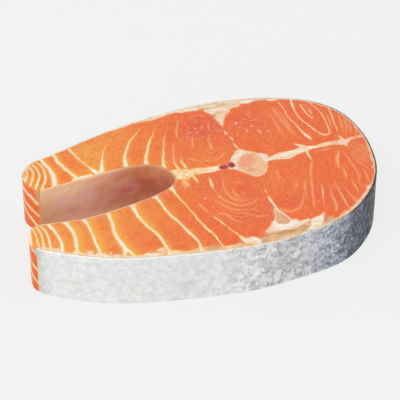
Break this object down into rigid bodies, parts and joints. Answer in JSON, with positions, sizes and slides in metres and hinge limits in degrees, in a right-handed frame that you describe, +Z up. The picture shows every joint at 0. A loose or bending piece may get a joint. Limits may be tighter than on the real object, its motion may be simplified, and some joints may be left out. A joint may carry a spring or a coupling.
{
  "type": "raw salmon steak",
  "caption": "Raw salmon steak, a crosswise cut of the fish: marbled orange flesh round an open belly cavity, with silver skin, backbone and cavity lining.",
  "frame": {"origin": "middle of the base, on the lower cut face", "axes": "+X towards the back of the fish, -X the open belly; +Z up out of the upper cut face; Y across the fish"},
  "size_m": [0.1697, 0.1046, 0.028],
  "materials": {
    "flesh": "wet raw orange fish muscle with cream fat lines",
    "skin": "wet silver fish skin with small scales, darker towards the back",
    "belly_lining": "thin wet membrane, tan to mauve brown",
    "bone": "sawn bone, peach pink with a cream rim",
    "blood": "dark clotted blood"
  },
  "bodies": {
    "root": {"flesh": "flesh", "skin": "skin", "belly_lining": "belly_lining", "vertebra": "bone", "aorta": "blood", "vein": "blood"}
  },
  "joints": []
}
